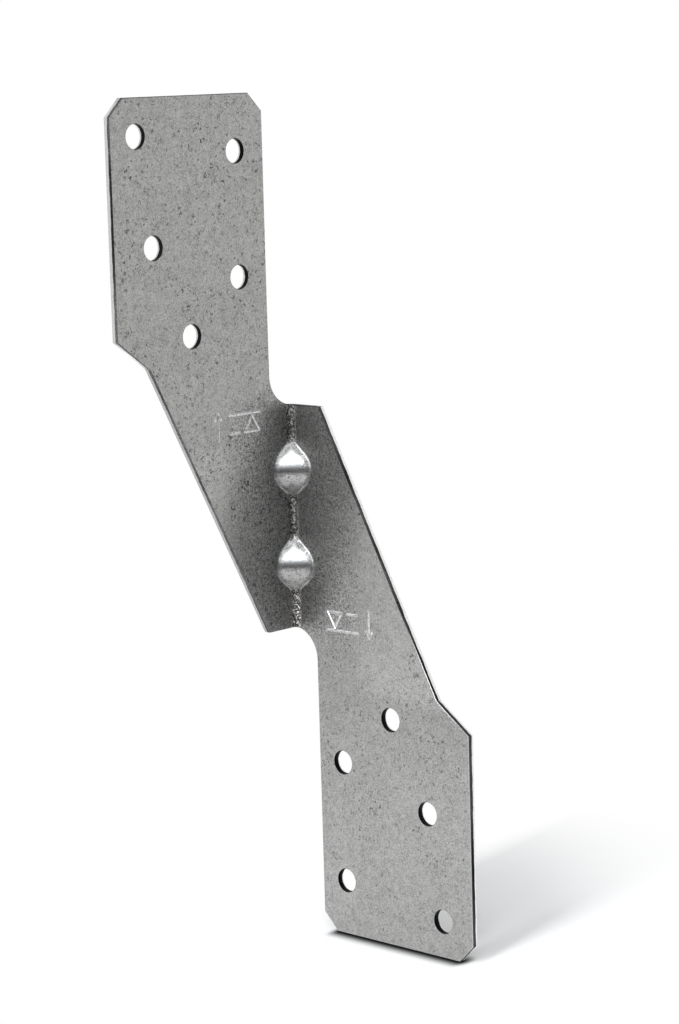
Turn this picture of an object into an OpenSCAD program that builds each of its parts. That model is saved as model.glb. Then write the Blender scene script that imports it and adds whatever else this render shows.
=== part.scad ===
// Folded sheet-steel tie that fixes a rafter to the top of a wall.
// One blank, folded square once down its middle and stiffened by two darts
// drawn across the fold. The upper flange lies on the rafter's side and the
// lower flange on the wall plate's face. The fold's outside is the corner
// between the two timbers: x = 0, y = 0, with z = 0 at mid height.

/* [Sheet] */

// Thickness of the galvanised sheet, 18 gauge
sheet_t = 1.2; // [0.9:0.1:1.5]

// Inside radius of the fold
bend_r = 0.8; // [0.5:0.1:1.2]

// Overall height, along the fold
height = 148; // [138:1:168]

// Width of each flange, from the fold's outside
flange_w = 41; // [38:0.5:48]

/* [Outline] */

// Half the height of the band that crosses the fold
band_half = 19.8; // [18.5:0.1:21]

// Length of the band's straight end, from the fold's outside
band_reach = 8; // [7:0.1:10]

// Distance of each flange's inner edge from the fold's outside
notch_w = 6; // [5.5:0.1:7]

// Radius in the corner between the inner edge and the band
notch_r = 5.4; // [3:0.1:5.4]

// Length of each flange's straight outer edge, up from its end
pad_length = 39.9; // [36:0.1:42]

// Width of the step between the outer edge and the long slant
step_w = 7; // [4:0.1:9]

// Height of the step between the outer edge and the long slant
step_h = 5.1; // [3:0.1:6]

// Side of the cut taken off each end corner
corner_clip = 3.1; // [2:0.1:4.4]

/* [Nail holes] */

// Diameter of each nail hole
nail_hole_d = 4.2; // [3.6:0.1:5]

// End hole on the outer side: centre to the outer edge
end_outer_edge = 6.6; // [5.6:0.1:10]

// End hole on the outer side: centre to the flange's end
end_outer_end = 6.4; // [5.6:0.1:12]

// End hole on the inner side: centre to the inner edge
end_inner_edge = 5.7; // [5:0.1:9]

// End hole on the inner side: centre to the flange's end
end_inner_end = 9.7; // [6:0.1:13]

// Middle hole on the outer side: centre to the outer edge
mid_outer_edge = 9.7; // [6:0.1:12]

// Middle hole on the outer side: centre to the flange's end
mid_outer_end = 24.9; // [21:0.1:29]

// Middle hole on the inner side: centre to the inner edge
mid_inner_edge = 5.6; // [5:0.1:9]

// Middle hole on the inner side: centre to the flange's end
mid_inner_end = 31.1; // [26:0.1:35]

// Hole nearest the band: centre to the outer edge
last_edge = 17.8; // [15:0.1:19]

// Hole nearest the band: centre to the flange's end
last_end = 40.3; // [37:0.1:43]

// How much further from the fold the upper flange's five holes sit
upper_hole_shift = 0.9; // [0:0.1:1.5]

/* [Darts] */

// Height of each dart's middle above or below mid height
dart_height = 8.5; // [7.8:0.1:10]

// Half the length of a dart along the fold
dart_half = 5.4; // [4.6:0.1:6]

// Reach of a dart along each flange, before its crest is rounded
dart_reach = 6.7; // [5.6:0.1:7.4]

// Outside radius of a dart's rounded crest
dart_crest_r = 4.2; // [2:0.1:5]

/* [Hidden] */

$fn = 72;
steel = [0.66, 0.67, 0.67];

// clearance that carries each cutter past the face it cuts
past = 1;
// outside radius of the fold
fold_r = bend_r + sheet_t;
// the lower flange's end, its outer edge's top and the foot of its slant
half_height = height / 2;
side_drop = half_height - pad_length;
slant_drop = side_drop - step_h;
slant_reach = flange_w - step_w;
// distance from the fold's outside corner to its inside corner, across both
inside_p = sheet_t * sqrt(2);
// half the angle between a dart's two slopes, at its crest
crest_half_angle = atan2(dart_half, dart_reach / sqrt(2));
// where a dart's two slopes would meet, and the centre of its rounded crest
dart_apex_p = inside_p + dart_reach / sqrt(2);
crest_p = dart_apex_p - dart_crest_r / sin(crest_half_angle);
hollow_crest_r = dart_crest_r - sheet_t;
// a box that holds a whole dart, and a ridge that runs right across it
dart_box = 2 * (dart_reach + sheet_t);
ridge_length = 4 * dart_box;
// how far a crest stands proud of its slopes, so that it crosses them cleanly
lap = 0.01;
// how deep a dart's metal reaches into the flanges it grows from
sunk = 0.8 * sheet_t;

// the half turn that carries the lower flange on to the upper one
module upper_side() {
    rotate(a = 180, v = [1, -1, 0]) children();
}

// one thing on the lower flange, and the same on the upper flange
module both_sides() {
    children();
    upper_side() children();
}

// the flat sheet of the lower flange, as a plain rectangle
module flat_sheet() {
    translate([fold_r, -sheet_t, -half_height])
        cube([flange_w - fold_r, sheet_t, height]);
}

// the quarter turn of sheet that joins the two flanges
module fold() {
    translate([fold_r, -fold_r, -half_height])
        intersection() {
            difference() {
                cylinder(r = fold_r, h = height);
                translate([0, 0, -past]) cylinder(r = bend_r, h = height + 2 * past);
            }
            translate([-fold_r - past, 0, 0])
                cube([fold_r + past, fold_r + past, height]);
        }
}

// everything cut from the lower flange beyond its slanted outer side
module slant_cut() {
    side = flange_w + past;
    step = step_h / step_w;
    slant = (slant_reach - band_reach) / (slant_drop + band_half);
    top = half_height + past;
    rotate([90, 0, 0])
        translate([0, 0, -past])
            linear_extrude(height = sheet_t + 2 * past)
                polygon([
                    [band_reach - slant * past, band_half + past],
                    [slant_reach, -slant_drop],
                    [side, -side_drop - step * past],
                    [side, top],
                    [band_reach - slant * past, top]
                ]);
}

// one corner cut, centred on a corner of the flange's lower end
module clip_cut(reach) {
    translate([reach, past, -half_height])
        rotate([90, 0, 0])
            linear_extrude(height = sheet_t + 2 * past)
                polygon([
                    [-corner_clip, 0], [0, -corner_clip],
                    [corner_clip, 0], [0, corner_clip]
                ]);
}

// the space between the lower flange's inner edge, the fold and the band
module notch_cut() {
    across = flange_w + 2 * past;
    translate([-past, past - across, -band_half]) {
        translate([0, 0, -notch_r])
            cube([notch_w - notch_r + past, across, notch_r]);
        translate([0, 0, -half_height - past])
            cube([notch_w + past, across, half_height + past - notch_r]);
        translate([notch_w - notch_r + past, 0, -notch_r])
            rotate([-90, 0, 0]) cylinder(r = notch_r, h = across);
    }
}

// one nail hole through the lower flange
module nail_hole(reach, end) {
    translate([reach, past, end - half_height])
        rotate([90, 0, 0]) cylinder(d = nail_hole_d, h = sheet_t + 2 * past);
}

// the five nail holes of one flange
module nail_holes(shift = 0) {
    nail_hole(flange_w - end_outer_edge + shift, end_outer_end);
    nail_hole(notch_w + end_inner_edge + shift, end_inner_end);
    nail_hole(flange_w - mid_outer_edge + shift, mid_outer_end);
    nail_hole(notch_w + mid_inner_edge + shift, mid_inner_end);
    nail_hole(flange_w - last_edge + shift, last_end);
}

// a ridge that runs level across the corner, with its crest rounded to radius r:
// a smaller r draws the slopes in by the same amount, so two make one sheet
module ridge(r) {
    tangent_p = crest_p + r * sin(crest_half_angle);
    tangent_z = r * cos(crest_half_angle);
    foot_z = tangent_z + (tangent_p + past) * tan(crest_half_angle);
    // local x runs towards the open side and local y runs up
    rotate([0, 0, -45])
        rotate([90, 0, 0])
            translate([0, 0, -ridge_length / 2]) {
                linear_extrude(height = ridge_length)
                    polygon([
                        [-past, -foot_z], [tangent_p, -tangent_z],
                        [tangent_p, tangent_z], [-past, foot_z]
                    ]);
                translate([crest_p, 0, 0]) cylinder(r = r + lap, h = ridge_length);
            }
}

// the metal of a dart, kept inside the two flanges and the fold
module dart_metal() {
    intersection() {
        ridge(dart_crest_r);
        translate([sunk, -sunk - dart_box, -dart_box])
            cube([dart_box, dart_box, 2 * dart_box]);
    }
}

module tie() {
    color(steel)
        difference() {
            union() {
                difference() {
                    union() {
                        both_sides() flat_sheet();
                        fold();
                    }
                    both_sides() {
                        slant_cut();
                        notch_cut();
                        clip_cut(flange_w);
                        clip_cut(notch_w);
                    }
                    nail_holes();
                    upper_side() nail_holes(upper_hole_shift);
                }
                both_sides() translate([0, 0, -dart_height]) dart_metal();
            }
            both_sides() translate([0, 0, -dart_height]) ridge(hollow_crest_r);
        }
}

tie();
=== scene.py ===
"""Hurricane tie in galvanised sheet steel, dressed over its CAD frame.

One folded sheet: an upper flange for the rafter's side, a lower flange for the
wall plate's face, and two darts drawn across the fold between them. The fold's
outside corner stands on the z axis, with mid height at the origin.
"""

import logging
import math
from abc import ABC, abstractmethod
from collections.abc import Callable, Iterator
from contextlib import contextmanager
from dataclasses import dataclass, field
from enum import Enum
from functools import reduce

import bmesh
import bpy
from mathutils import Matrix, Vector


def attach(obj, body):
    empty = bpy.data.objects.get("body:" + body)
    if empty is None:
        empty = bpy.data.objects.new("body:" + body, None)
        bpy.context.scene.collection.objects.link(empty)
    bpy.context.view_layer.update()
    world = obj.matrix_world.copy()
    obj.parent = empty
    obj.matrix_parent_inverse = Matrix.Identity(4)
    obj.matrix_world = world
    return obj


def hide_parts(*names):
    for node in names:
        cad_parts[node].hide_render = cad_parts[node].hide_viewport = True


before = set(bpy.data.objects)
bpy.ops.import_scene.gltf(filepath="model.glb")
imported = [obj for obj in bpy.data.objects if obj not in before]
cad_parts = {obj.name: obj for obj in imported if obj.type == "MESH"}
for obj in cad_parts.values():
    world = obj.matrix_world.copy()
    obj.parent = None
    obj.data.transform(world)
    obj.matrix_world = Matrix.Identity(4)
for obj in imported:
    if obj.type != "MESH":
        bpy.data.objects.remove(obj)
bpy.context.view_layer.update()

MM = 0.001
ROOT2 = math.sqrt(2)
SHEET_T = 1.2 * MM
DART_Z = 8.5 * MM
OPEN_SIDE = Vector((1, -1, 0)).normalized()

NEAR = 1e-6  # two places closer than this are one
TINY = 1e-7  # a move shorter than this is none
FACING = 0.9  # a face looks along an axis when its normal has this much of it
SHARP = math.radians(55)

Socket = bpy.types.NodeSocket
Value = Socket | float
Tint = tuple[float, float, float]
Colour = tuple[float, float, float, float]

LOG = logging.getLogger("hurricane_tie")


class Side(Enum):
    """The two flanges. The upper one is the lower one after a half turn."""

    LOWER = "lower"
    UPPER = "upper"

    def turn(self) -> Matrix:
        """Tell the turn that carries something made on the lower flange to this one.

        Returns:
            A turn about a line through the origin.
        """
        if self is Side.LOWER:
            return Matrix.Identity(4)
        return Matrix.Rotation(math.pi, 4, OPEN_SIDE)


class Surface(Enum):
    """The kinds of surface on the sheet, by material slot."""

    FACE = 0
    EDGE = 1
    BORE = 2
    STAMP = 3
    BACK = 4


# ---------------------------------------------------------------- hand tools


def deselect_all() -> None:
    """Leave nothing selected."""
    bpy.ops.object.select_all(action="DESELECT")


def activate(obj: bpy.types.Object) -> None:
    """Select one object alone and make it the active one.

    Args:
        obj: The object to work on next.
    """
    deselect_all()
    obj.select_set(True)
    bpy.context.view_layer.objects.active = obj


@contextmanager
def edit_mode(obj: bpy.types.Object, mode: str = "FACE") -> Iterator[None]:
    """Work on an object in edit mode, starting with nothing selected.

    Args:
        obj: The object to edit.
        mode: What is selected, VERT, EDGE or FACE.

    Returns:
        A context that leaves edit mode at its end.
    """
    activate(obj)
    bpy.ops.object.mode_set(mode="EDIT")
    bpy.ops.mesh.select_mode(type=mode)
    bpy.ops.mesh.select_all(action="DESELECT")
    try:
        yield
    finally:
        bpy.ops.object.mode_set(mode="OBJECT")


def select_where(
    obj: bpy.types.Object,
    faces: Callable[[bmesh.types.BMFace], bool] | None = None,
    edges: Callable[[bmesh.types.BMEdge], bool] | None = None,
) -> int:
    """Select the faces or edges of the edited mesh that pass a test.

    Args:
        obj: The object in edit mode.
        faces: A test on a face, or None.
        edges: A test on an edge, or None.

    Returns:
        How many passed.
    """
    bpy.ops.mesh.select_all(action="DESELECT")
    bm = bmesh.from_edit_mesh(obj.data)
    found = [f for f in bm.faces if faces(f)] if faces else [e for e in bm.edges if edges(e)]
    for part in found:
        part.select_set(True)
    bm.select_flush_mode()
    bmesh.update_edit_mesh(obj.data)
    return len(found)


def face_outwards(obj: bpy.types.Object, weld: bool = False) -> None:
    """Turn all the faces of a closed mesh outwards.

    Args:
        obj: The object to mend.
        weld: Whether points that lie together are merged first.
    """
    with edit_mode(obj):
        bpy.ops.mesh.select_all(action="SELECT")
        if weld:
            bpy.ops.mesh.remove_doubles(threshold=NEAR)
        bpy.ops.mesh.normals_make_consistent(inside=False)


def apply_place(obj: bpy.types.Object) -> None:
    """Put an object's place, turn and scale into its mesh."""
    activate(obj)
    bpy.ops.object.transform_apply(location=True, rotation=True, scale=True)


def add_cube(
    name: str, middle: Vector, size: Vector, turn: tuple[float, float, float] = (0, 0, 0)
) -> bpy.types.Object:
    """Add a block round a middle point.

    Args:
        name: The new object's name.
        middle: Where its middle stands.
        size: Its length along each axis, before it is turned.
        turn: How it is turned about its middle.

    Returns:
        The block, with its place in its mesh.
    """
    deselect_all()
    bpy.ops.mesh.primitive_cube_add(size=1, location=middle, rotation=turn)
    block = bpy.context.active_object
    block.name = name
    block.scale = size
    apply_place(block)
    return block


def add_box(name: str, low: Vector, high: Vector) -> bpy.types.Object:
    """Add a box between its lowest and its highest corner, with its place in its mesh."""
    return add_cube(name, (low + high) / 2, high - low)


def add_modifier(obj: bpy.types.Object, kind: str, **settings: object) -> None:
    """Add a modifier, set it and apply it.

    Args:
        obj: The object that gets it.
        kind: The modifier's type.
        **settings: Its settings by name.
    """
    activate(obj)
    bpy.ops.object.modifier_add(type=kind)
    modifier = obj.modifiers[-1]
    for key, value in settings.items():
        setattr(modifier, key, value)
    bpy.ops.object.modifier_apply(modifier=modifier.name)


def bisect(obj: bpy.types.Object, point: Vector, normal: Vector, clear: bool = False) -> None:
    """Cut a mesh along a plane.

    Args:
        obj: The object to cut.
        point: A point on the plane.
        normal: The plane's normal.
        clear: Whether the side that the normal points to is taken away and the cut closed.
    """
    with edit_mode(obj):
        bpy.ops.mesh.select_all(action="SELECT")
        bpy.ops.mesh.bisect(
            plane_co=point, plane_no=normal, use_fill=clear, clear_outer=clear, threshold=TINY
        )


def join(name: str, objs: list[bpy.types.Object]) -> bpy.types.Object:
    """Join objects into the first of them.

    Args:
        name: The joined object's name.
        objs: The objects to join.

    Returns:
        The joined object.
    """
    activate(objs[0])
    for obj in objs:
        obj.select_set(True)
    bpy.ops.object.join()
    objs[0].name = name
    return objs[0]


def turn_over(obj: bpy.types.Object, name: str, turn: Matrix) -> bpy.types.Object:
    """Carry a tool to its flange: a turned copy takes its place.

    Args:
        obj: The tool as it was made, which is removed.
        name: The copy's name.
        turn: A turn about the origin.

    Returns:
        The copy, with a mesh of its own.
    """
    activate(obj)
    bpy.ops.object.duplicate()
    copy = bpy.context.active_object
    copy.name = name
    copy.matrix_world = turn
    apply_place(copy)
    bpy.data.objects.remove(obj)
    return copy


# -------------------------------------------------------------------- wiring


@dataclass(frozen=True)
class Fade:
    """A smooth step: one value up to a start, and another past an end."""

    start: float
    end: float
    before: float = 0.0
    after: float = 1.0


def fall(start: float, end: float, top: float = 1.0) -> Fade:
    """Make a smooth step that falls to nothing."""
    return Fade(start, end, top, 0.0)


@dataclass(frozen=True)
class Speckle:
    """A noise pattern, with its scale in features to the metre."""

    scale: float
    detail: float = 2.0
    rough: float = 0.5
    bend: float = 0.0


@dataclass(frozen=True)
class Spots:
    """A scatter of round spots, one in some of the cells."""

    scale: float  # cells to the metre
    reach: float  # a spot's radius, as a share of a cell
    bare: float  # the share of the cells that have none
    soft_edge: float = 0.7
    soft_share: float = 0.4


class Nodes:
    """A small desk for wiring one node tree."""

    row_length = 12
    column_w = 180
    row_h = 260

    def __init__(self, tree: bpy.types.NodeTree) -> None:
        """Clear the tree and keep it.

        Args:
            tree: The tree to wire.
        """
        self.tree = tree
        self.count = 0
        tree.nodes.clear()

    def feed(self, socket: Socket, value: object) -> None:
        """Give an input its value.

        Args:
            socket: The input.
            value: Another node's output, or a plain value.
        """
        if isinstance(value, Socket):
            self.tree.links.new(value, socket)
        else:
            socket.default_value = value

    def add(
        self, kind: str, inputs: dict[str | int, object] | None = None, **settings: object
    ) -> bpy.types.Node:
        """Add a node.

        Args:
            kind: The node's type.
            inputs: Values or sockets for its inputs, by name or number.
            **settings: Its own settings.

        Returns:
            The node.
        """
        node = self.tree.nodes.new(kind)
        row, column = divmod(self.count, self.row_length)
        node.location = (self.column_w * column, -self.row_h * row)
        self.count += 1
        for key, value in settings.items():
            setattr(node, key, value)
        for key, value in (inputs or {}).items():
            self.feed(node.inputs[key], value)
        return node

    def math(self, operation: str, *values: Value) -> Socket:
        """Do one step of arithmetic."""
        return self.add("ShaderNodeMath", dict(enumerate(values)), operation=operation).outputs[0]

    def total(self, *values: Value) -> Socket:
        """Add values up."""
        return reduce(lambda a, b: self.math("ADD", a, b), values)

    def product(self, *values: Value) -> Socket:
        """Multiply values."""
        return reduce(lambda a, b: self.math("MULTIPLY", a, b), values)

    def largest(self, *values: Value) -> Socket:
        """Take the largest of some values."""
        return reduce(lambda a, b: self.math("MAXIMUM", a, b), values)

    def less(self, value: Value, taken: Value) -> Socket:
        """Take one value from another."""
        return self.math("SUBTRACT", value, taken)

    def unsigned(self, value: Value) -> Socket:
        """Take a value without its sign."""
        return self.math("ABSOLUTE", value)

    def distance(self, x: Value, y: Value) -> Socket:
        """Tell how far a place on the floor is from the origin."""
        flat = self.add("ShaderNodeCombineXYZ", {"X": x, "Y": y, "Z": 0.0})
        return self.add("ShaderNodeVectorMath", {0: flat.outputs[0]}, operation="LENGTH").outputs["Value"]

    def fade(self, value: Value, step: Fade) -> Socket:
        """Map a value by a smooth step.

        Args:
            value: What is mapped.
            step: The step.

        Returns:
            The mapped value.
        """
        ends = {"From Min": step.start, "From Max": step.end, "To Min": step.before, "To Max": step.after}
        node = self.add("ShaderNodeMapRange", {"Value": value, **ends}, interpolation_type="SMOOTHSTEP")
        return node.outputs["Result"]

    def noise(self, where: Socket, speckle: Speckle, output: str = "Fac") -> Socket:
        """Lay a noise pattern.

        Args:
            where: The coordinates.
            speckle: The pattern.
            output: Fac for a value, or Color for three.

        Returns:
            The pattern, from 0 to 1.
        """
        look = {"Scale": speckle.scale, "Detail": speckle.detail, "Roughness": speckle.rough}
        node = self.add("ShaderNodeTexNoise", {"Vector": where, **look, "Distortion": speckle.bend})
        return node.outputs[output]

    def scatter(self, where: Socket, spots: Spots) -> Socket:
        """Scatter spots.

        Args:
            where: The coordinates.
            spots: The spots' look.

        Returns:
            A mask of the spots.
        """
        cell = self.add("ShaderNodeTexVoronoi", {"Vector": where, "Scale": spots.scale})
        chance = self.add("ShaderNodeSeparateColor", {0: cell.outputs["Color"]}).outputs[0]
        picked = self.fade(chance, Fade(spots.bare, spots.bare + spots.soft_share))
        spot = fall(spots.reach * spots.soft_edge, spots.reach)
        return self.product(self.fade(cell.outputs["Distance"], spot), picked)

    def blend(self, factor: Value, a: Socket | Colour, b: Socket | Colour, how: str = "MIX") -> Socket:
        """Blend two colours.

        Args:
            factor: The second colour's share.
            a: The first colour.
            b: The second colour.
            how: The way they are blended.

        Returns:
            The blended colour.
        """
        node = self.add("ShaderNodeMix", data_type="RGBA", blend_type=how)
        for name, value in (("Factor", factor), ("A", a), ("B", b)):
            self.feed(next(s for s in node.inputs if s.name == name and s.enabled), value)
        return next(s for s in node.outputs if s.enabled)

    def colour(self, tone: Value) -> Socket:
        """Make a grey from a tone."""
        return self.add("ShaderNodeCombineColor", {0: tone, 1: tone, 2: tone}).outputs[0]

    def steel(self, base: Socket, rough: Value, height: Socket, strength: float, depth: float) -> Socket:
        """Wire bare metal with a fine relief.

        Args:
            base: Its colour.
            rough: Its roughness.
            height: Its relief, where 1 is one depth.
            strength: How far the relief shows.
            depth: The relief's depth.

        Returns:
            The shader.
        """
        relief = {"Strength": strength, "Distance": depth, "Height": height}
        bump = self.add("ShaderNodeBump", relief).outputs[0]
        look = {"Base Color": base, "Metallic": 1.0, "Roughness": rough, "Normal": bump}
        return self.add("ShaderNodeBsdfPrincipled", look).outputs[0]


def grey(level: float, tint: Tint = (1.0, 1.0, 1.0)) -> Colour:
    """Make a grey of a given level, slightly tinted."""
    return (*(level * part for part in tint), 1.0)


# ------------------------------------------------------------------ finishes


@dataclass(frozen=True)
class Finish(ABC):
    """What every finish has: a name, and a material that reads Object coordinates."""

    name: str

    def material(self) -> bpy.types.Material:
        """Build the material.

        Returns:
            The finished material.
        """
        made = bpy.data.materials.new(self.name)
        made.use_nodes = True
        n = Nodes(made.node_tree)
        place = n.add("ShaderNodeTexCoord").outputs["Object"]
        n.add("ShaderNodeOutputMaterial", {"Surface": self.shader(n, place)})
        return made

    @abstractmethod
    def shader(self, n: Nodes, place: Socket) -> Socket:
        """Wire the look.

        Args:
            n: The desk that it is wired on.
            place: The point of the surface.

        Returns:
            The shader.
        """


@dataclass(frozen=True)
class Regions:
    """Where a point of the sheet lies and how it was worked, as node values."""

    place: Socket  # the point itself
    z: Socket  # its height from mid height
    corner: Socket  # how far along a flange it is from the fold's outside corner
    across: Socket  # how far it is from the plane that halves the fold
    above: Socket  # how far it is above the crest of the nearer dart
    drawn: Socket  # 1 on a dart
    run_out: Socket  # 1 on the ends of a dart's crest, where it runs out into a flange
    foot: Socket  # 1 round the foot of a dart
    creased: Socket  # 1 in the fold's crease
    worked: float  # 1 on the open side, and 0 on the back, which shows none of this


@dataclass(frozen=True)
class Working:
    """How the brake and the press worked the sheet, by how far they drew the metal in."""

    drawn: Fade = Fade(0.5 * MM, 1.3 * MM)
    # the crease: its width on a flange, its end on a dart, and its ragged border
    crease_w: Fade = fall(2.1 * MM, 2.5 * MM)
    crease_to: Fade = fall(0.36 * MM, 0.55 * MM)
    ragged: Speckle = Speckle(1500, 3, 0.75)
    ragged_by: float = 2.0 * MM
    # the foot of a dart, and the two ends of its crest
    crest_half: Fade = fall(1.6 * MM, 3.2 * MM)
    run_out_from: Fade = Fade(0.01 * MM, 0.05 * MM)
    run_out_to: Fade = fall(0.25 * MM, 1.1 * MM)
    foot_from: Fade = Fade(0.02 * MM, 0.08 * MM)
    foot_to: Fade = fall(0.14 * MM, 0.3 * MM)

    def regions(self, n: Nodes, place: Socket, worked: float) -> Regions:
        """Find the regions from a point of the surface.

        Args:
            n: The desk that they are wired on.
            place: The point.
            worked: 1 on the open side, and 0 on the back.

        Returns:
            The regions.
        """
        x, y, z = n.add("ShaderNodeSeparateXYZ", {0: place}).outputs
        inward = n.math("DIVIDE", n.less(x, y), ROOT2)
        across = n.math("DIVIDE", n.unsigned(n.total(x, y)), ROOT2)
        corner = n.largest(x, n.product(y, -1.0))
        above = n.less(z, n.product(n.math("SIGN", z), DART_Z))

        # on the back this is a metre short, so that nothing counts as drawn
        lift = n.less(n.less(inward, across), SHEET_T * ROOT2 + (1.0 - worked))

        ragged = n.product(n.less(n.noise(place, self.ragged), 0.5), self.ragged_by)
        creased = n.product(
            n.fade(n.total(corner, ragged), self.crease_w), n.fade(lift, self.crease_to), worked
        )
        by_crest = n.fade(n.unsigned(n.less(n.unsigned(z), DART_Z)), self.crest_half)
        run_out = n.product(n.fade(lift, self.run_out_from), n.fade(lift, self.run_out_to), by_crest)
        foot = n.product(n.fade(lift, self.foot_from), n.fade(lift, self.foot_to))
        foot = n.product(foot, n.less(1.0, n.largest(by_crest, creased)))
        drawn = n.fade(lift, self.drawn)
        return Regions(
            place=place, z=z, corner=corner, across=across, above=above,
            drawn=drawn, run_out=run_out, foot=foot, creased=creased, worked=worked,
        )


@dataclass(frozen=True)
class Zinc:
    """The zinc itself: mottled all over and blotchy towards the fold, with painted shade towards the fold
    and painted light beyond it along the band.
    """

    cloud: Speckle = Speckle(70, 3, 0.6)
    mottle: Speckle = Speckle(640, 4, 0.65, 0.5)
    grain: Speckle = Speckle(2600, 3, 0.75)
    dust: Speckle = Speckle(5200, 2, 0.8)
    shares: tuple[float, ...] = (0.08, 0.2, 0.42, 0.3)  # of the cloud, mottle, grain and dust
    tone: Fade = Fade(0.38, 0.62, 0.28, 0.5)
    tint: Tint = (1.0, 0.998, 0.975)
    # blotches near the fold, by reach from it and by height from the middle
    strained_reach: Fade = fall(11 * MM, 20 * MM)
    strained_half: Fade = fall(17 * MM, 27 * MM)
    blotch: Speckle = Speckle(3600, 2, 0.6)
    blotch_tone: Fade = Fade(0.35, 0.65, -0.46, 0.42)
    # painted light: along the band, beside its blotches, the zinc is painted up to a fifth brighter from
    # 12 mm out from the fold
    band_top: Fade = fall(12 * MM, 24 * MM)
    band_foot: Fade = Fade(-44 * MM, -27 * MM)
    band_light_reach: Fade = Fade(12 * MM, 20 * MM, 1.0, 1.2)
    # painted shade: the zinc is painted up to a quarter darker towards the fold, within 22 mm of mid
    # height
    fold_shade_half: Fade = fall(17 * MM, 22 * MM)
    fold_shade_reach: Fade = fall(2 * MM, 12 * MM, 0.25)

    def shade(self, n: Nodes, at: Regions) -> Socket:
        """Lay the mottle, from coarse to fine."""
        layers = zip((self.cloud, self.mottle, self.grain, self.dust), self.shares)
        return n.total(*(n.product(n.noise(at.place, layer), share) for layer, share in layers))

    def strained(self, n: Nodes, at: Regions) -> Socket:
        """Find where folding strained the zinc: 1 near the fold, and 0 far from it."""
        half = n.fade(n.unsigned(at.z), self.strained_half)
        return n.product(n.fade(at.corner, self.strained_reach), half, n.less(1.0, at.drawn))

    def paint(self, n: Nodes, at: Regions, shade: Socket, strained: Socket) -> Socket:
        """Colour the plain zinc.

        Args:
            n: The desk that it is wired on.
            at: The regions.
            shade: The mottle.
            strained: Where the zinc was strained.

        Returns:
            The colour.
        """
        blotch = n.fade(n.noise(at.place, self.blotch), self.blotch_tone)
        band = n.product(n.fade(at.z, self.band_top), n.fade(at.z, self.band_foot), at.worked)
        # painted light: brighter along the band, further out from the fold
        clear = n.largest(n.product(band, n.fade(at.corner, self.band_light_reach)), 1.0)
        # painted shade towards the fold, on the open side and off the darts
        fold_shade = n.product(
            n.fade(n.unsigned(at.z), self.fold_shade_half),
            n.less(1.0, at.drawn),
            n.fade(at.corner, self.fold_shade_reach),
            at.worked,
        )
        tone = n.product(
            n.fade(shade, self.tone), n.total(1.0, n.product(blotch, strained)), clear, n.less(1.0, fold_shade)
        )
        return n.blend(1.0, n.colour(tone), grey(1.0, self.tint), "MULTIPLY")


@dataclass(frozen=True)
class Flecks:
    """Fine dark flecks and veins in the zinc, with ragged edges."""

    bend: Speckle = Speckle(1900, 3)  # bends the coordinates, which makes edges ragged
    bend_by: float = 1.6 * MM
    coarse: Spots = Spots(1000, 0.28, 0.46)
    fine: Spots = Spots(2000, 0.36, 0.4)
    fine_share: float = 0.6
    vein: Speckle = Speckle(520, 2)
    vein_w: Fade = fall(0.008, 0.02)  # a vein follows the noise's middle value this closely
    vein_breaks: Speckle = Speckle(1100, 2)
    vein_left: Fade = Fade(0.54, 0.62)
    patches: Speckle = Speckle(110, 2)
    patch_share: Fade = Fade(0.35, 0.65, 0.5, 1.0)
    fewer_below: Fade = Fade(-72 * MM, -50 * MM, 0.55, 1.0)
    more_strained: float = 0.2
    dark: Colour = grey(0.04)
    cover: float = 0.82

    def mask(self, n: Nodes, at: Regions, strained: Socket) -> Socket:
        """Lay the flecks out.

        Args:
            n: The desk that they are wired on.
            at: The regions.
            strained: Where the zinc was strained, which has more of them.

        Returns:
            1 on a fleck.
        """
        way = n.noise(at.place, self.bend, "Color")
        off = n.add("ShaderNodeVectorMath", {0: way, "Scale": self.bend_by}, operation="SCALE").outputs[0]
        bent = n.add("ShaderNodeVectorMath", {0: at.place, 1: off}, operation="ADD").outputs[0]
        vein = n.product(
            n.fade(n.unsigned(n.less(n.noise(bent, self.vein), 0.5)), self.vein_w),
            n.fade(n.noise(at.place, self.vein_breaks), self.vein_left),
        )
        fine = n.product(n.scatter(bent, self.fine), self.fine_share)
        flecks = n.largest(n.scatter(bent, self.coarse), vein, fine)
        patchy = n.fade(n.noise(at.place, self.patches), self.patch_share)
        patchy = n.product(patchy, n.fade(at.z, self.fewer_below))
        return n.product(flecks, n.total(patchy, n.product(strained, self.more_strained)))


@dataclass(frozen=True)
class Crease:
    """The fold's crease: a crazed zinc crust under painted shade, almost black, with bright metal in its
    cracks.
    """

    # painted shade in the crease, almost black, on the open side only
    dark: Colour = grey(0.035, (1.0, 0.95, 0.9))
    crust_and_shade_cover: float = 0.96
    bright: Colour = grey(0.95, (1.0, 0.97, 0.94))
    crazing: Speckle = Speckle(2300, 4, 0.85)
    crack: Fade = Fade(0.5, 0.58)
    less_above: Fade = Fade(-17 * MM, -11 * MM, 1.0, 0.4)
    pits: Speckle = Speckle(3200, 3, 0.8)

    def crazed(self, n: Nodes, at: Regions) -> Socket:
        """Find the bright metal in the crease, where the crust under the painted shade is crazed."""
        open_zinc = n.fade(n.noise(at.place, self.crazing), self.crack)
        return n.product(open_zinc, at.creased, n.fade(at.z, self.less_above))

    def paint(self, n: Nodes, at: Regions, base: Socket, crazed: Socket) -> Socket:
        """Paint shade over the crease, with bright metal where it is crazed."""
        base = n.blend(n.product(at.creased, self.crust_and_shade_cover), base, self.dark)
        return n.blend(crazed, base, self.bright)


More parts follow.
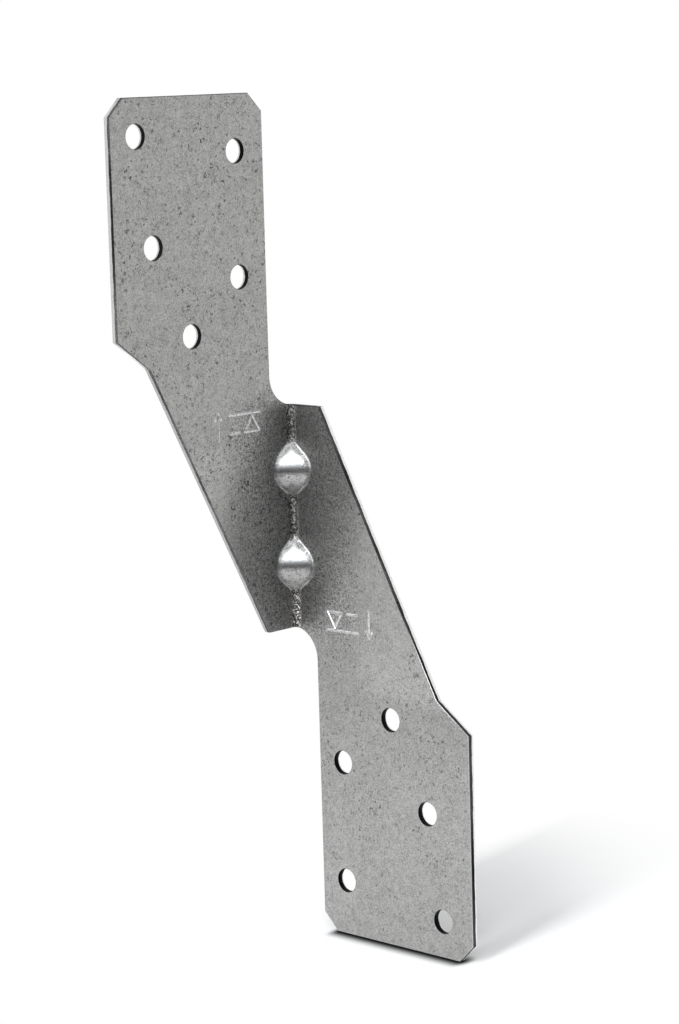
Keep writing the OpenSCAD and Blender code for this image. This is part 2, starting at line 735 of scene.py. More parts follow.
@dataclass(frozen=True)
class DartWearAndLight:
    """What the press left on a dart, scuffs that are fewer where the crest is polished, and painted light:
    a painted highlight above the crest and round the foot, and painted shade beside it and at the crest's
    ends.
    """

    pale: Colour = grey(0.6)
    pale_cover: float = 0.1
    scuffs: Speckle = Speckle(1500, 4, 0.75, 0.6)
    scuffed: Fade = Fade(0.5, 0.62)
    scuff_dark: Colour = grey(0.12)
    scuff_share: float = 0.7
    polish_from: Fade = Fade(0.0, 0.5 * MM, 0.0, 0.65)
    polish_to: Fade = fall(2.1 * MM, 3.0 * MM)
    # painted shade on the sides of the slope above the crest
    slope_shade: Colour = grey(0.1)
    # how far beside the crest the painted shade of the slopes and the painted highlight lie, and how far
    # above it
    slope_shade_beside: Fade = Fade(3.0 * MM, 4.3 * MM, 0.0, 0.45)
    slope_shade_above: Fade = Fade(0.0, 0.8 * MM)
    slope_shade_grain: Fade = Fade(0.35, 0.65, 1.15, 0.7)
    # painted highlight on the slope above the crest
    painted_highlight: Colour = grey(0.95)
    highlight_beside: Fade = fall(2.7 * MM, 4.2 * MM, 0.8)
    highlight_above: Fade = Fade(1.0 * MM, 1.8 * MM)
    # painted highlight round the dart's foot
    foot_highlight: Colour = grey(0.7)
    foot_highlight_cover: float = 0.3
    # painted shade on the ends of the crest, where it runs into a flange
    run_out_shade: Colour = grey(0.08)
    run_out_shade_cover: float = 0.55

    def paint(self, n: Nodes, at: Regions, base: Socket, grain: Socket) -> Socket:
        """Colour the darts.

        Args:
            n: The desk that they are wired on.
            at: The regions.
            base: The colour so far.
            grain: The zinc's grain.

        Returns:
            The colour.
        """
        polished = n.product(n.fade(at.above, self.polish_from), n.fade(at.above, self.polish_to))
        scuffed = n.fade(n.noise(at.place, self.scuffs), self.scuffed)
        scuffed = n.product(scuffed, at.drawn, n.less(self.scuff_share, polished))
        beside = n.total(at.above, at.across)
        # painted shade on the slope's sides, which leaves a bright triangle above the crest
        slope_shaded = n.product(n.fade(beside, self.slope_shade_beside), n.fade(at.above, self.slope_shade_above))
        slope_shaded = n.product(slope_shaded, at.drawn, n.fade(grain, self.slope_shade_grain))
        # painted highlight above the crest
        highlight = n.product(n.fade(beside, self.highlight_beside), n.fade(at.above, self.highlight_above), at.drawn)
        for cover, colour in (
            (n.product(at.drawn, self.pale_cover), self.pale),
            (scuffed, self.scuff_dark),
            (slope_shaded, self.slope_shade),
            (highlight, self.painted_highlight),
            (n.product(at.foot, self.foot_highlight_cover), self.foot_highlight),
            (n.product(at.run_out, self.run_out_shade_cover), self.run_out_shade),
        ):
            base = n.blend(cover, base, colour)
        return base


@dataclass(frozen=True)
class GalvanisedFinish(Finish):
    """Hot-dip zinc on rolled sheet, as the brake and the press left it, with painted shade and painted
    highlights at the fold and on the darts.
    """

    name: str = "galvanised_zinc"
    worked: float = 1.0
    working: Working = Working()
    zinc: Zinc = Zinc()
    flecks: Flecks = Flecks()
    crease: Crease = Crease()
    # the darts' scuffs, with their painted highlights and painted shade
    wear: DartWearAndLight = DartWearAndLight()
    # what the mottle and each region add to the roughness, and to the height of the relief
    rough: Fade = Fade(0.38, 0.72, 0.42, 0.31)
    rough_fleck: float = 0.18
    rough_drawn: float = -0.08
    rough_creased: float = 0.2
    high_shade: float = 0.6
    high_fleck: float = -0.5
    high_crazed: float = 1.6
    high_pits: float = 5.0
    relief: float = 0.35
    relief_depth: float = 0.06 * MM

    def shader(self, n: Nodes, place: Socket) -> Socket:
        """Wire the zinc.

        Args:
            n: The desk that it is wired on.
            place: The point of the surface.

        Returns:
            The shader.
        """
        at = self.working.regions(n, place, self.worked)
        shade = self.zinc.shade(n, at)
        strained = self.zinc.strained(n, at)
        fleck = self.flecks.mask(n, at, strained)
        crazed = self.crease.crazed(n, at)
        base = self.zinc.paint(n, at, shade, strained)
        base = n.blend(n.product(fleck, self.flecks.cover), base, self.flecks.dark)
        base = self.crease.paint(n, at, base, crazed)
        base = self.wear.paint(n, at, base, n.noise(place, self.zinc.grain))
        rough = n.total(
            n.fade(shade, self.rough),
            n.product(fleck, self.rough_fleck),
            n.product(at.drawn, self.rough_drawn),
            n.product(at.creased, self.rough_creased),
        )
        height = n.total(
            n.product(shade, self.high_shade),
            n.product(fleck, self.high_fleck),
            n.product(crazed, self.high_crazed),
            n.product(n.noise(place, self.crease.pits), at.creased, self.high_pits),
        )
        return n.steel(base, rough, height, self.relief, self.relief_depth)


@dataclass(frozen=True)
class ShearedFinish(Finish):
    """A cut edge: a bright band sheared first, then a dark torn one, with a painted highlight low down
    along its open side.
    """

    name: str = "sheared_edge"
    bright: float = 0.92
    torn: float = 0.03
    # painted highlight on the open side's rim, low down
    rim_highlight: float = 0.5
    # the torn band starts at this share of the thickness, on each stretch of the outline
    share_low: float = 0.32
    share_mid: float = 0.48
    share_high: float = 0.62
    mid_height: Fade = Fade(-34 * MM, -24 * MM)
    upper_flange: Fade = fall(-3 * MM, -1.5 * MM)
    upper_torn: float = 1.2  # how much more the torn band reflects on the upper flange
    upper_slant: Fade = fall(28 * MM, 32 * MM, 0.5)  # how much less the bright one does there
    # the painted highlight on the rim of the open side, and how much higher up it ends on the upper flange
    rim_depth: Fade = Fade(SHEET_T - 0.15 * MM, SHEET_T - 0.09 * MM)
    rim_height: Fade = fall(-24 * MM, -14 * MM)
    rim_rise: float = 8 * MM
    # the torn band's wandering border
    wander: Speckle = Speckle(420, 3, 0.6)
    wander_by: float = 0.4 * MM
    tear: Fade = Fade(-0.05 * MM, 0.05 * MM)
    scratches: Speckle = Speckle(3000, 3, 0.7)
    scratched: tuple[float, float] = (0.35, 0.7)
    bright_spread: tuple[float, float] = (0.85, 1.08)
    torn_spread: tuple[float, float] = (0.6, 1.6)
    worn: Speckle = Speckle(45, 2)
    worn_tone: Fade = Fade(0.35, 0.65, 0.4, 2.6)
    rough: Fade = Fade(0.0, 1.0, 0.3, 0.6)
    relief: float = 0.5
    relief_depth: float = 0.08 * MM

    def _scratched(self, n: Nodes, scratch: Socket, tone: float, spread: tuple[float, float]) -> Socket:
        """Spread a tone by the scratches on it."""
        return n.fade(scratch, Fade(*self.scratched, tone * spread[0], tone * spread[1]))

    def shader(self, n: Nodes, place: Socket) -> Socket:
        """Wire the cut edge.

        Args:
            n: The desk that it is wired on.
            place: The point of the surface.

        Returns:
            The shader.
        """
        x, y, z = n.add("ShaderNodeSeparateXYZ", {0: place}).outputs
        depth = n.math("MINIMUM", x, n.product(y, -1.0))
        upper = n.fade(y, self.upper_flange)

        # painted highlight: low down, the open side's rim is painted bright
        low = n.less(z, n.product(upper, self.rim_rise))
        rim_highlight = n.product(n.fade(depth, self.rim_depth), n.fade(low, self.rim_height), self.rim_highlight)

        # each end was cut in a stroke of its own, so the bright band is wider at the top
        share = n.total(
            n.product(n.fade(z, self.mid_height), self.share_mid - self.share_low),
            n.product(upper, self.share_high - self.share_mid),
            self.share_low,
        )
        wander = n.product(n.less(n.noise(place, self.wander), 0.5), self.wander_by)
        past = n.less(n.total(depth, wander), n.product(share, SHEET_T))
        torn = n.product(n.fade(past, self.tear), n.less(1.0, rim_highlight))

        scratch = n.noise(place, self.scratches)
        slanted = n.product(upper, n.fade(z, self.upper_slant))
        bright = self._scratched(n, scratch, self.bright, self.bright_spread)
        bright = n.product(bright, n.less(1.0, slanted))
        dark = n.product(
            self._scratched(n, scratch, self.torn, self.torn_spread),
            n.fade(n.noise(place, self.worn), self.worn_tone),
            n.total(n.product(upper, self.upper_torn), 1.0),
        )
        tone = n.add("ShaderNodeMix", {"Factor": torn, "A": bright, "B": dark}).outputs[0]
        rough = n.fade(torn, self.rough)
        return n.steel(n.colour(tone), rough, scratch, self.relief, self.relief_depth)


@dataclass(frozen=True)
class StampedFinish(Finish):
    """The bottom of a stamped stroke, where the zinc is pressed bright."""

    name: str = "stamped_zinc"
    wear: Speckle = Speckle(2200, 3, 0.7)
    tone: Fade = Fade(0.36, 0.56, 0.456, 0.76)
    rough: Fade = Fade(0.36, 0.6, 0.52, 0.36)
    relief: float = 0.3
    relief_depth: float = 0.05 * MM

    def shader(self, n: Nodes, place: Socket) -> Socket:
        """Wire the stamped zinc.

        Args:
            n: The desk that it is wired on.
            place: The point of the surface.

        Returns:
            The shader.
        """
        worn = n.noise(place, self.wear)
        base = n.colour(n.fade(worn, self.tone))
        return n.steel(base, n.fade(worn, self.rough), worn, self.relief, self.relief_depth)


@dataclass(frozen=True)
class FloorFinish(Finish):
    """White paper with a painted shadow under the tie's foot, which fades into the white room."""

    name: str = "white_sweep"
    fibre: Speckle = Speckle(30, 3)
    tone: Fade = Fade(0.2, 0.8, 0.8175, 0.83)
    # the line that the lower edge stands on, and how much sooner the painted shadow's ends give way
    foot_x: tuple[float, float] = (9.4 * MM, 37.6 * MM)
    foot_y: float = -0.6 * MM
    foot_end: float = 1.8
    # painted shadow: dark along the line of contact, and a little darker out to 70 mm from it
    closed: Fade = Fade(0.55 * MM, 4.2 * MM, 0.02, 1.0)
    shaded: Fade = Fade(0.0, 70 * MM, 0.95, 1.0)
    # where the paper gives way to plain white for the camera: far off, and, as painted light over the
    # tie's shadow, on the outer side of the upper flange's plane and in front of the foot
    fade_far: Fade = Fade(36 * MM, 98 * MM)
    fade_left: Fade = fall(-11 * MM, 4 * MM)
    fade_front: Fade = fall(-5.5 * MM, -3 * MM)

    def shader(self, n: Nodes, place: Socket) -> Socket:
        """Wire the floor.

        Args:
            n: The desk that it is wired on.
            place: The point of the surface.

        Returns:
            The shader.
        """
        x, y, _ = n.add("ShaderNodeSeparateXYZ", {0: place}).outputs
        seen = n.add("ShaderNodeLightPath").outputs["Is Camera Ray"]

        # how far the point is from the line that the lower edge stands on
        middle, half = sum(self.foot_x) / 2, (self.foot_x[1] - self.foot_x[0]) / 2
        along = n.product(n.largest(n.less(n.unsigned(n.less(x, middle)), half), 0.0), self.foot_end)
        aside = n.less(y, self.foot_y)
        near = n.distance(along, aside)

        # painted shadow: the line of contact is darkened for the camera alone, so that the steel doesn't
        # mirror it
        closed = n.largest(n.fade(near, self.closed), n.less(1.0, seen))
        tone = n.product(n.fade(n.noise(place, self.fibre), self.tone), closed, n.fade(near, self.shaded))
        paper = n.add("ShaderNodeBsdfDiffuse", {"Color": n.colour(tone)})
        white = n.add("ShaderNodeEmission", {"Strength": 1.0})
        fade = n.largest(
            n.fade(n.distance(x, y), self.fade_far),
            n.fade(x, self.fade_left),
            n.fade(aside, self.fade_front),
        )
        shaders = {0: n.product(fade, seen), 1: paper.outputs[0], 2: white.outputs[0]}
        return n.add("ShaderNodeMixShader", shaders).outputs[0]


# ----------------------------------------------------------------- the sheet


@dataclass
class Outline:
    """The outline of one flange, seen flat, with distances from the fold's outside."""

    height: float = 148 * MM
    flange_w: float = 41 * MM
    band_half: float = 19.8 * MM  # half the height of the band at the fold
    band_reach: float = 8 * MM  # how far the band's end runs level before the slant
    notch_w: float = 6 * MM  # how far the pad stands off the fold
    notch_r: float = 5.4 * MM
    notch_steps: int = 24
    pad_length: float = 39.9 * MM
    step_w: float = 7 * MM
    step_h: float = 5.1 * MM
    clip: float = 3.1 * MM
    past: float = 1.0 * MM  # how far a cutter runs past the blank
    through: float = 2.2 * MM  # how far it reaches through the flange
    slant_from: float = 3 * MM  # where the slant's cutter starts, off the fold
    step_below: float = 2 * MM  # how far the step's cutter reaches below the step

    def _beyond(self, name: str, start: Vector, end: Vector, low: Vector) -> bpy.types.Object:
        """Make a cutter for what lies beyond one sloping line of the outer side.

        Args:
            name: The cutter's name.
            start: The line's upper end, as reach and height.
            end: The line's lower end, as reach and height.
            low: The least reach and height that the cutter takes.

        Returns:
            The cutter.
        """
        box = add_box(
            name,
            Vector((low.x, -self.through, low.y)),
            Vector((self.flange_w + self.past, self.past, self.height / 2 + self.past)),
        )
        along = end - start
        inward = Vector((along.y, 0, -along.x)).normalized()
        bisect(box, Vector((start.x, 0, start.y)), inward, clear=True)
        return box

    def cutters(self) -> list[bpy.types.Object]:
        """Make all that is cut from the lower flange's blank, but for the notch.

        Returns:
            The cutters.
        """
        half = self.height / 2
        band = Vector((self.band_reach, self.band_half))
        shoulder = Vector((self.flange_w - self.step_w, self.pad_length + self.step_h - half))
        pad = Vector((self.flange_w, self.pad_length - half))
        made = [
            self._beyond("slant_cutter", band, shoulder, Vector((self.slant_from, shoulder.y))),
            self._beyond("step_cutter", shoulder, pad, Vector((shoulder.x, pad.y - self.step_below))),
        ]
        across = self.clip * ROOT2
        for reach in (self.notch_w, self.flange_w):
            size = Vector((across, 2 * self.through, across))
            made.append(add_cube("clip_cutter", Vector((reach, 0, -half)), size, (0, math.pi / 4, 0)))
        return made

    def notch(self) -> bpy.types.Object:
        """Make the cutter below the band, with its inner corner rounded by a bevel.

        Returns:
            The cutter.
        """
        box = add_box(
            "notch_cutter",
            Vector((-self.past, -self.flange_w - self.past, -self.height / 2 - self.past)),
            Vector((self.notch_w, self.past, -self.band_half)),
        )
        with edit_mode(box, "EDGE"):
            select_where(box, edges=lambda e: all(
                abs(v.co.x - self.notch_w) < NEAR and abs(v.co.z + self.band_half) < NEAR
                for v in e.verts
            ))
            bpy.ops.mesh.bevel(
                offset=self.notch_r, segments=self.notch_steps, affect="EDGES", clamp_overlap=False
            )
        return box


@dataclass
class NailHoles:
    """The five nail holes of a flange, by reach and by drop from mid height."""

    diameter: float = 4.2 * MM
    sides: int = 56
    stroke: float = 5 * MM
    margin: float = 0.2 * MM  # round a hole, a point this near still belongs to its wall
    upper_shift: float = 0.9 * MM  # how much further out the upper flange's holes stand
    places: tuple[tuple[float, float], ...] = (
        (34.4 * MM, 67.6 * MM),
        (11.7 * MM, 64.3 * MM),
        (31.3 * MM, 49.1 * MM),
        (11.6 * MM, 42.9 * MM),
        (23.2 * MM, 33.7 * MM),
    )

    def holds(self, point: Vector) -> bool:
        """Tell whether a point lies in one of the ten holes.

        Args:
            point: A point of the sheet.

        Returns:
            Whether it does.
        """
        shift, reach = (0.0, point.x) if point.x > -point.y else (self.upper_shift, -point.y)
        within = self.diameter / 2 + self.margin
        return any(
            math.hypot(reach - shift - far, abs(point.z) - drop) < within for far, drop in self.places
        )

    def cutters(self, side: Side) -> list[bpy.types.Object]:
        """Make the punches for one flange, standing at the lower flange.

        Args:
            side: The flange that they are for.

        Returns:
            Five cylinders.
        """
        made = []
        shift = self.upper_shift if side is Side.UPPER else 0.0
        for reach, drop in self.places:
            deselect_all()
            bpy.ops.mesh.primitive_cylinder_add(
                vertices=self.sides,
                radius=self.diameter / 2,
                depth=self.stroke,
                location=(reach + shift, 0, -drop),
                rotation=(math.pi / 2, 0, 0),
            )
            punch = bpy.context.active_object
            punch.name = f"punch_{len(made)}"
            apply_place(punch)
            made.append(punch)
        return made


@dataclass(frozen=True)
class Stroke:
    """One straight stamped stroke on the lower flange, by reach and height in millimetres."""

    x0: float
    z0: float
    x1: float
    z1: float


@dataclass
class LevelMark:
    """A plain stamped level sign: a triangle on a line, with an arrow beside it."""

    width: float = 0.48 * MM
    depth: float = 0.18 * MM
    tip: float = 0.08  # the chisel's edge, as a share of its foot
    strokes: tuple[Stroke, ...] = (
        Stroke(18.7, -15.3, 18.7, -19.6),
        Stroke(18.75, -19.9, 18.05, -18.9),
        Stroke(18.65, -19.9, 19.35, -18.9),
        Stroke(8.5, -19.4, 16.0, -19.4),
        Stroke(8.9, -16.2, 12.3, -16.2),
        Stroke(8.9, -16.2, 10.6, -19.0),
        Stroke(12.3, -16.2, 10.6, -19.0),
        Stroke(13.6, -16.2, 16.0, -16.2),
    )

    def cutters(self) -> list[bpy.types.Object]:
        """Make one chisel for each stroke, standing at the lower flange."""
        return [self._chisel(f"chisel_{i}", stroke) for i, stroke in enumerate(self.strokes)]

    def _chisel(self, name: str, stroke: Stroke) -> bpy.types.Object:
        """Make a blunt wedge that leaves one stroke with sloping walls.

        Args:
            name: The chisel's name.
            stroke: The stroke.

        Returns:
            The chisel.
        """
        start, end = Vector((stroke.x0, stroke.z0)) * MM, Vector((stroke.x1, stroke.z1)) * MM
        middle, along = (start + end) / 2, end - start
        foot, tip = along.length + 2 * self.width, along.length
        wedge = add_cube(name, Vector(), Vector((foot, 2 * self.depth, 2 * self.width)))
        with edit_mode(wedge):
            select_where(wedge, faces=lambda f: f.normal.y > FACING)
            bpy.ops.transform.resize(value=(tip / foot, 1, self.tip))
        wedge.rotation_euler = (0, -math.atan2(along.y, along.x), 0)
        wedge.location = (middle.x, -SHEET_T, middle.y)
        apply_place(wedge)
        return wedge


@dataclass
class Darts:
    """The two hollow darts, drawn level across the fold's open side."""

    half: float = 5.4 * MM  # half a dart's height at the fold
    reach: float = 6.7 * MM  # how far it spreads along each flange
    crest_r: float = 4.2 * MM
    foot_blend: float = 0.2 * MM  # the fillet round its foot
    level_reach: float = 0.6  # the share of the half height over which the fillet widens

    def profile(self, z: float, thinner: float = 0.0) -> float:
        """Tell how far a dart stands out from the fold's outside corner.

        Args:
            z: Height above or below mid height.
            thinner: How much is taken off all over, for the hollow behind.

        Returns:
            The distance towards the open side.
        """
        run = self.reach / ROOT2
        slope = math.atan2(self.half, run)
        centre = SHEET_T * ROOT2 + run - self.crest_r / math.sin(slope)
        radius = self.crest_r - thinner
        off_crest = abs(abs(z) - DART_Z)
        if off_crest <= radius * math.cos(slope):
            return centre + math.sqrt(radius**2 - off_crest**2)
        return centre + radius / math.sin(slope) - off_crest / math.tan(slope)

    def press(
        self, obj: bpy.types.Object, inside: Callable[[Vector], bool], front: Callable[[Vector], bool]
    ) -> int:
        """Draw the darts out of the finely divided metal near the fold.

        Args:
            obj: The sheet.
            inside: Tells whether a point lies in the divided zone.
            front: Tells whether a point lies on the sheet's open side.

        Returns:
            How many points moved.
        """
        moved = 0
        for vertex in obj.data.vertices:
            if not inside(vertex.co):
                continue
            now = vertex.co.dot(OPEN_SIDE)
            want = self.profile(vertex.co.z, 0.0 if front(vertex.co) else SHEET_T)
            off_crest = abs(abs(vertex.co.z) - DART_Z)
            # the fillet at the foot is widest level with the crest
            blend = self.foot_blend * (1.0 + max(1.0 - off_crest / (self.level_reach * self.half), 0.0))
            spread = max(blend - abs(want - now), 0.0)
            rise = max(want, now) + spread**2 / (4 * blend) - now
            if rise > TINY:
                vertex.co += OPEN_SIDE * rise
                moved += 1
        obj.data.update()
        return moved


@dataclass
class TieSheet:
    """The whole tie, as one folded and pressed sheet."""

    bend_r: float = 0.8 * MM
    fold_steps: int = 12
    zone_half: float = 16.5 * MM  # half the height of the zone that the darts are drawn from
    zone_reach: float = 7.6 * MM  # how far the zone reaches along each flange
    upright_cuts: tuple[int, int] = (3, 32)  # two goes, because one takes 100 cuts at most
    level_cuts: int = 21
    edge_bevel: float = 0.08 * MM
    bevel_steps: int = 2
    roll_steps: int = 3
    # a stamped stroke has points between these depths, seen from the sheet's back
    stamped: tuple[float, float] = (0.5 * SHEET_T, 0.98 * SHEET_T)
    outline: Outline = field(default_factory=Outline)
    holes: NailHoles = field(default_factory=NailHoles)
    mark: LevelMark = field(default_factory=LevelMark)
    darts: Darts = field(default_factory=Darts)
    rolls: dict[Surface, float] = field(
        default_factory=lambda: {Surface.EDGE: 0.14 * MM, Surface.BORE: 0.06 * MM}
    )
    finishes: dict[Surface, Finish] = field(default_factory=lambda: {
        Surface.FACE: GalvanisedFinish(),
        Surface.EDGE: ShearedFinish(),
        # the bore walls are drawn darker than the outline's edges, with a wider dark band that is almost
        # black
        Surface.BORE: ShearedFinish(
            "punched_bore", bright=0.95, torn=0.003, rim_highlight=0.0, share_low=0.16, share_mid=0.2, share_high=0.3
        ),
        Surface.STAMP: StampedFinish(),
        Surface.BACK: GalvanisedFinish("galvanised_back", worked=0.0),
    })

    @property
    def fold_r(self) -> float:
        """Tell the fold's outside radius."""
        return self.bend_r + SHEET_T

    def _front(self, point: Vector) -> bool:
        """Tell whether a point of the undrawn sheet lies on its open side.

        Args:
            point: A point of the sheet.

        Returns:
            Whether it does.
        """
        corner = Vector((self.fold_r, -self.fold_r))
        if point.x < self.fold_r and -point.y < self.fold_r:
            return (Vector(point.xy) - corner).length < self.fold_r - SHEET_T / 2
        return min(point.x, -point.y) > SHEET_T / 2

    def _in_zone(self, point: Vector, margin: float = -NEAR) -> bool:
        """Tell whether a point lies in the darts' zone, or outside it by less than a margin."""
        reach = max(point.x, -point.y)
        return abs(point.z) < self.zone_half + margin and reach < self.zone_reach + margin

    def blank(self) -> bpy.types.Object:
        """Fold the blank: a flat flange, its inner end spun round the bend, and the other flange.

        Returns:
            The folded blank.
        """
        wide, half = self.outline.flange_w, self.outline.height / 2
        sheet = add_box("tie_sheet", Vector((self.fold_r, -SHEET_T, -half)), Vector((wide, 0, half)))
        with edit_mode(sheet):
            select_where(sheet, faces=lambda f: f.normal.x < -FACING)
            bpy.ops.mesh.spin(
                steps=self.fold_steps,
                angle=math.pi / 2,
                center=(self.fold_r, -self.fold_r, 0),
                axis=(0, 0, -1),
            )
            bpy.ops.mesh.extrude_region_move(
                TRANSFORM_OT_translate={"value": (0, self.fold_r - wide, 0)}
            )
        face_outwards(sheet, weld=True)
        for z in (-self.zone_half, self.zone_half):
            bisect(sheet, Vector((0, 0, z)), Vector((0, 0, 1)))
        bisect(sheet, Vector((self.zone_reach, 0, 0)), Vector((1, 0, 0)))
        bisect(sheet, Vector((0, -self.zone_reach, 0)), Vector((0, 1, 0)))
        return sheet

    def cut(self, sheet: bpy.types.Object) -> None:
        """Trim the outline, punch the holes and stamp the marks on both flanges.

        Args:
            sheet: The folded blank.
        """
        for side in Side:
            made = self.outline.cutters() + self.holes.cutters(side) + self.mark.cutters()
            made.append(self.outline.notch())
            turned = [turn_over(tool, f"{tool.name}_{side.value}", side.turn()) for tool in made]
            tools = join(f"tools_{side.value}", turned)
            face_outwards(tools)
            add_modifier(
                sheet, "BOOLEAN", operation="DIFFERENCE", object=tools, solver="EXACT", use_self=True
            )
            bpy.data.objects.remove(tools)
            LOG.info("%s flange cut: %d faces", side.value, len(sheet.data.polygons))

    def divide(self, sheet: bpy.types.Object) -> None:
        """Divide the metal round the fold finely enough for the darts.

        Args:
            sheet: The cut sheet.
        """
        longest = self.zone_reach - self.fold_r

        def in_zone(edge: bmesh.types.BMEdge) -> bool:
            """Tell whether both ends of an edge lie in the zone or on its border."""
            return all(self._in_zone(v.co, NEAR) for v in edge.verts)

        def upright(edge: bmesh.types.BMEdge) -> bool:
            """Tell whether an edge of the zone runs along the fold."""
            a, b = (v.co for v in edge.verts)
            return in_zone(edge) and abs(a.z - b.z) > FACING * (a - b).length

        def level(edge: bmesh.types.BMEdge) -> bool:
            """Tell whether an edge of the zone runs level from the bend to the zone's border."""
            a, b = (v.co for v in edge.verts)
            return in_zone(edge) and abs(a.z - b.z) < TINY and abs((a - b).length - longest) < 10 * NEAR

        with edit_mode(sheet, "EDGE"):
            for cuts in self.upright_cuts:
                select_where(sheet, edges=upright)
                bpy.ops.mesh.subdivide(number_cuts=cuts)
            select_where(sheet, edges=level)
            bpy.ops.mesh.subdivide(number_cuts=self.level_cuts)

    def build(self) -> bpy.types.Object:
        """Make the tie.

        Returns:
            The finished sheet.
        """
        sheet = self.blank()
        for kind in Surface:
            sheet.data.materials.append(self.finishes[kind].material())
        LOG.info("blank folded: %d faces", len(sheet.data.polygons))
        self.cut(sheet)
        self.divide(sheet)
        LOG.info("faces by finish: %s", self._sort_faces(sheet))
        moved = self.darts.press(sheet, self._in_zone, self._front)
        LOG.info("darts pressed: %d points moved", moved)
        self._roll(sheet)
        add_modifier(
            sheet,
            "BEVEL",
            limit_method="ANGLE",
            angle_limit=SHARP,
            width=self.edge_bevel,
            segments=self.bevel_steps,
            use_clamp_overlap=False,
            material=Surface.FACE.value,
        )
        activate(sheet)
        bpy.ops.object.shade_smooth()
        add_modifier(sheet, "WEIGHTED_NORMAL", mode="FACE_AREA")
        return sheet

    def _roll(self, sheet: bpy.types.Object) -> None:
        """Round the open side's edges over, where the shear and the punches came in.

        Args:
            sheet: The pressed sheet.
        """
        for kind, radius in self.rolls.items():
            with edit_mode(sheet, "EDGE"):
                found = select_where(sheet, edges=lambda e: (
                    e.is_manifold
                    and e.calc_face_angle(0) > SHARP
                    and all(self._front(v.co) for v in e.verts)
                    and any(f.material_index == kind.value for f in e.link_faces)
                ))
                bpy.ops.mesh.bevel(
                    offset=radius,
                    segments=self.roll_steps,
                    affect="EDGES",
                    clamp_overlap=False,
                    material=kind.value,
                )
            LOG.info("%s rolled over: %d edges", kind.name.lower(), found)

    def _surface(self, points: list[Vector], middle: Vector) -> Surface:
        """Tell which finish a face has, before the darts are drawn.

        Args:
            points: The face's corners.
            middle: Its middle.

        Returns:
            The kind of surface that it belongs to.
        """
        if len({self._front(p) for p in points}) == 2:
            return Surface.BORE if self.holes.holds(middle) else Surface.EDGE
        low, high = self.stamped
        if any(low < min(p.x, -p.y) < high for p in points if max(p.x, -p.y) > self.fold_r):
            return Surface.STAMP
        return Surface.FACE if self._front(points[0]) else Surface.BACK

    def _sort_faces(self, sheet: bpy.types.Object) -> dict[str, int]:
        """Give each face the material slot of its kind of surface.

        Args:
            sheet: The divided sheet.

        Returns:
            How many faces each kind has.
        """
        count = {kind.name.lower(): 0 for kind in Surface}
        for face in sheet.data.polygons:
            points = [sheet.data.vertices[i].co for i in face.vertices]
            kind = self._surface(points, face.center)
            face.material_index = kind.value
            count[kind.name.lower()] += 1
        return count


# ---------------------------------------------------------------- the studio


@dataclass(frozen=True)
class SoftLight:
    """A flat light that faces the tie."""

    name: str
    place: tuple[float, float, float]
    width: float
    height: float
    level: float
    tint: Tint = (1.0, 1.0, 1.0)

    def hang(self) -> None:
        """Add the light."""
        data = bpy.data.lights.new(self.name, "AREA")
        data.shape = "RECTANGLE"
        data.size, data.size_y = self.width, self.height
        data.energy = self.level * math.pi * self.width * self.height
        data.color = self.tint
        lamp = bpy.data.objects.new(self.name, data)
        bpy.context.collection.objects.link(lamp)
        lamp.location = self.place
        lamp.rotation_mode = "QUATERNION"
        lamp.rotation_quaternion = (-Vector(self.place)).to_track_quat("-Z", "Y")


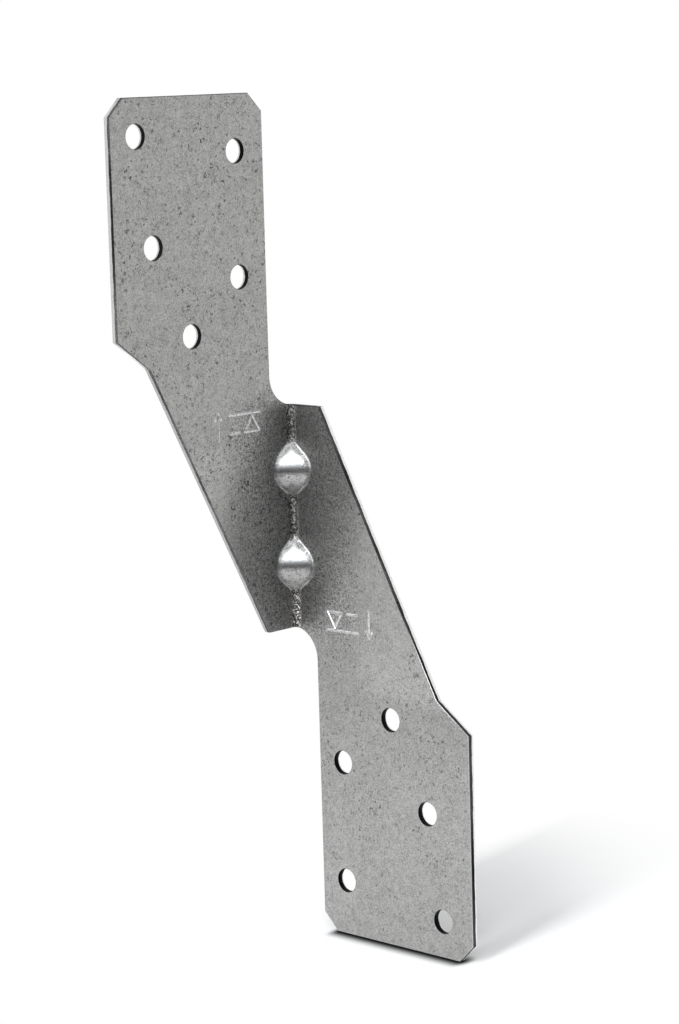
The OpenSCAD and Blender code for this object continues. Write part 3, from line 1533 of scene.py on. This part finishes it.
@dataclass(frozen=True)
class WhiteRoom:
    """A white room that is dim only where the camera stands."""

    level: float = 0.86
    level_across: tuple[float, float] = (0.76, 1.06)
    gap_level: float = 0.0
    gap_tint: Tint = (0.72, 0.86, 1.0)
    gap_round: Fade = Fade(0.42, 0.72)
    gap_low: Fade = Fade(0.04, 0.35, 1.0, 0.6)

    def build(self) -> None:
        """Make the room the scene's world."""
        world = bpy.data.worlds.new("white_room")
        bpy.context.scene.world = world
        world.use_nodes = True
        n = Nodes(world.node_tree)
        way = n.add("ShaderNodeTexCoord").outputs["Generated"]
        x, y, z = n.add("ShaderNodeSeparateXYZ", {0: way}).outputs
        seen = n.add("ShaderNodeLightPath").outputs["Is Camera Ray"]
        ahead = n.math("DIVIDE", n.less(x, y), ROOT2)
        aside = n.math("DIVIDE", n.total(x, y), ROOT2)
        dim = n.product(n.fade(ahead, self.gap_round), n.fade(z, self.gap_low))
        room = n.fade(aside, Fade(-1.0, 1.0, *(self.level * part for part in self.level_across)))
        level = n.total(n.product(dim, n.less(self.gap_level, room)), room)
        cool = n.product(dim, n.less(1.0, seen))
        colour = n.blend(cool, grey(1.0), grey(1.0, self.gap_tint))
        back = n.add("ShaderNodeBackground", {"Color": colour, "Strength": n.largest(level, seen)})
        n.add("ShaderNodeOutputWorld", {"Surface": back.outputs[0]})


@dataclass
class Studio:
    """The room, a large soft light over the camera, a strip that throws the shadow, and the floor."""

    floor_z: float = -74.2 * MM
    floor_r: float = 0.19
    floor_sides: int = 96
    camera_at: tuple[float, float, float] = (0.36123, -0.364483, 0.080389)
    camera_turn: tuple[float, float, float] = (1.4157668, 0.0284011, 0.7605804)
    lens: float = 103.507
    sees_from: float = 0.01
    sees_to: float = 20.0
    room: WhiteRoom = WhiteRoom()
    softbox: SoftLight = SoftLight(
        name="softbox",
        place=(0.48 / ROOT2, -0.48 / ROOT2, 0.46),
        width=0.26,
        height=0.7,
        level=3.1,
        tint=(0.93, 0.96, 1.0),
    )
    strip: SoftLight = SoftLight(
        name="strip", place=(0.15, -0.65, 0.36), width=0.13, height=0.7, level=20.5
    )

    def build(self) -> None:
        """Set up the floor, the room, the two lights and the camera."""
        self._floor()
        self.room.build()
        self.softbox.hang()
        self.strip.hang()
        self._camera()

    def _floor(self) -> None:
        """Lay a round white floor, just large enough to take the shadow."""
        deselect_all()
        bpy.ops.mesh.primitive_circle_add(
            vertices=self.floor_sides, radius=self.floor_r, fill_type="NGON", location=(0, 0, self.floor_z)
        )
        floor = bpy.context.active_object
        floor.name = "floor"
        apply_place(floor)
        floor.data.materials.append(FloorFinish().material())

    def _camera(self) -> None:
        """Stand the camera a little above the tie, facing into its fold."""
        data = bpy.data.cameras.new("camera")
        data.lens = self.lens
        data.clip_start, data.clip_end = self.sees_from, self.sees_to
        camera = bpy.data.objects.new("camera", data)
        bpy.context.collection.objects.link(camera)
        camera.location = self.camera_at
        camera.rotation_euler = self.camera_turn
        bpy.context.scene.camera = camera


def main() -> None:
    """Build the tie and its studio."""
    logging.basicConfig(level=logging.INFO, format="%(name)s: %(message)s")
    bpy.context.scene.view_settings.view_transform = "Standard"
    sheet = TieSheet().build()
    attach(sheet, "root")
    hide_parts("tie")
    LOG.info("tie_sheet: %d faces", len(sheet.data.polygons))
    Studio().build()


if __name__ == "__main__":
    main()
